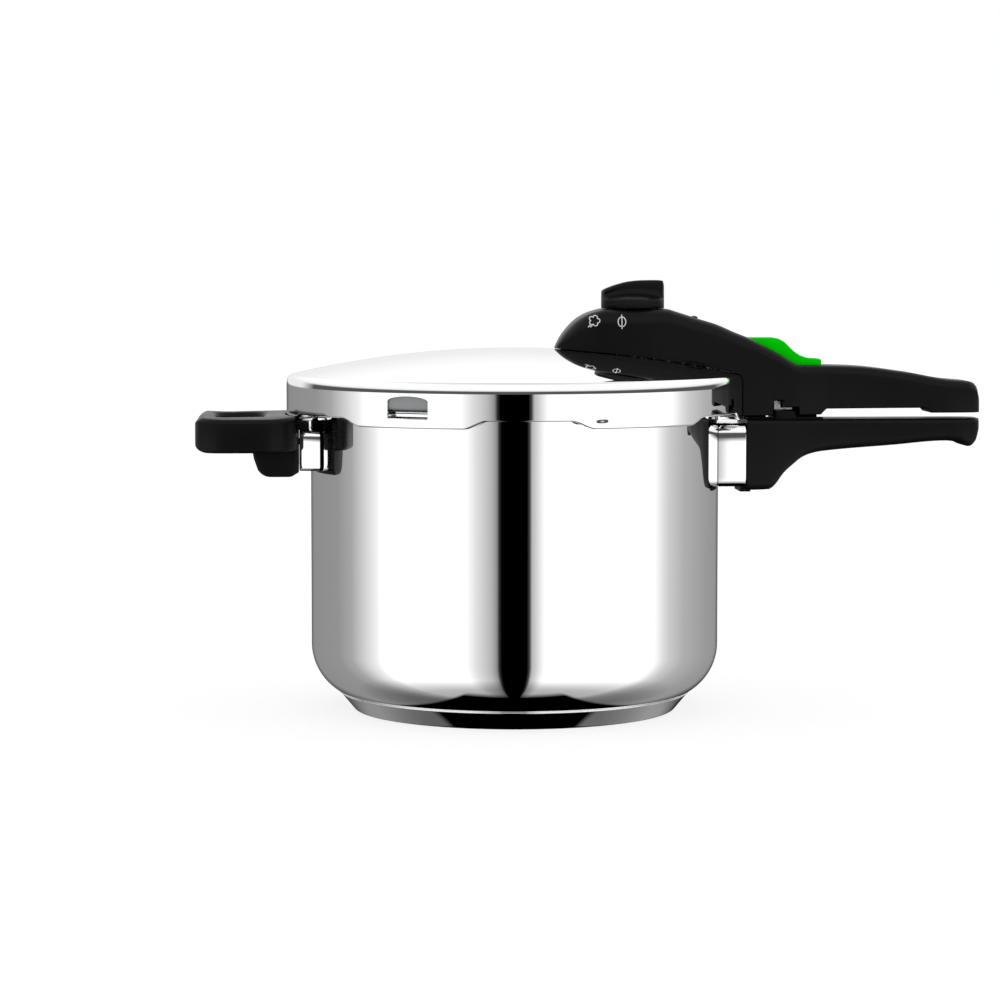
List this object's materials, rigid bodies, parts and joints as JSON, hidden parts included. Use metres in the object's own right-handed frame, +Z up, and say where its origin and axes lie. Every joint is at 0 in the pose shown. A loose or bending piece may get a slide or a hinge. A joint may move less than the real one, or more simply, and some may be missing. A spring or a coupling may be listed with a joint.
{
  "type": "stovetop pressure cooker",
  "caption": "Polished steel pressure cooker with a domed bayonet lid, a two-part long handle with a pressure selector and locking slider, and a helper handle.",
  "frame": {"origin": "on the pot's axis at the underside of the base, on the surface it stands on", "axes": "+Z up, +X along the long handle, -Y is the front"},
  "size_m": [0.4267, 0.2478, 0.2334],
  "materials": {
    "polished_steel": "mirror polished",
    "satin_steel": "satin",
    "base_aluminium": "plain",
    "black_moulding": "satin black moulding",
    "valve_brass": "turned",
    "seal_rubber": "matt silicone",
    "indicator_red": "satin",
    "slider_green": "satin green moulding"
  },
  "bodies": {
    "pot": {"pot_shell": "polished_steel", "base_core": "base_aluminium", "base_cup": "polished_steel", "pot_handle_bracket": "satin_steel", "pot_handle_sleeve": "polished_steel", "pot_handle": "black_moulding", "pot_handle_screw": "satin_steel", "latch_catch": "satin_steel", "catch_screw": "satin_steel", "helper_bracket": "satin_steel", "helper_sleeve": "polished_steel", "helper_handle": "black_moulding", "helper_screw": "satin_steel"},
    "lid": {"lid_shell": "polished_steel", "gasket": "seal_rubber", "lid_handle_bracket": "satin_steel", "handle_cover": "black_moulding", "handle_base": "black_moulding", "handle_screw_front": "satin_steel", "handle_screw_rear": "satin_steel", "regulator_body": "valve_brass", "regulator_nut": "satin_steel", "safety_valve_body": "valve_brass", "safety_valve_nut": "satin_steel", "safety_cap": "valve_brass", "indicator_guide": "valve_brass", "indicator_nut": "satin_steel"},
    "selector": {"selector_knob": "black_moulding", "selector_stem": "valve_brass", "selector_washer": "satin_steel"},
    "regulator": {"regulator_piston": "valve_brass", "regulator_spring": "satin_steel"},
    "safety": {"safety_plunger": "valve_brass", "safety_spring": "satin_steel"},
    "indicator": {"indicator_pin": "indicator_red", "indicator_seal": "seal_rubber"},
    "lock": {"lock_slider": "slider_green", "latch_bolt": "satin_steel", "slider_screw": "satin_steel"}
  },
  "joints": [
    {"name": "lid_turn", "type": "hinge", "parent": "pot", "child": "lid", "pos_m": [0, 0, 0.16], "axis": [0, 0, 1], "range_deg": [0, 30]},
    {"name": "selector_turn", "type": "hinge", "parent": "lid", "child": "selector", "pos_m": [0.0644, 0, 0.22], "axis": [0, 0, 1], "range_deg": [0, 73]},
    {"name": "lock_slide", "type": "slide", "parent": "lid", "child": "lock", "axis": [-1, 0, 0], "range_m": [0, 0.008]},
    {"name": "indicator_rise", "type": "slide", "parent": "lid", "child": "indicator", "axis": [0, 0, 1], "range_m": [0, 0.005]},
    {"name": "regulator_lift", "type": "slide", "parent": "lid", "child": "regulator", "axis": [0, 0, 1], "range_m": [0, 0.002], "stiffness_N_per_m": 1500, "springref_m": -0.001, "deforming": ["regulator_spring"]},
    {"name": "safety_lift", "type": "slide", "parent": "lid", "child": "safety", "axis": [0, 0, 1], "range_m": [0, 0.0015], "stiffness_N_per_m": 2500, "springref_m": -0.001, "deforming": ["safety_spring"]}
  ]
}
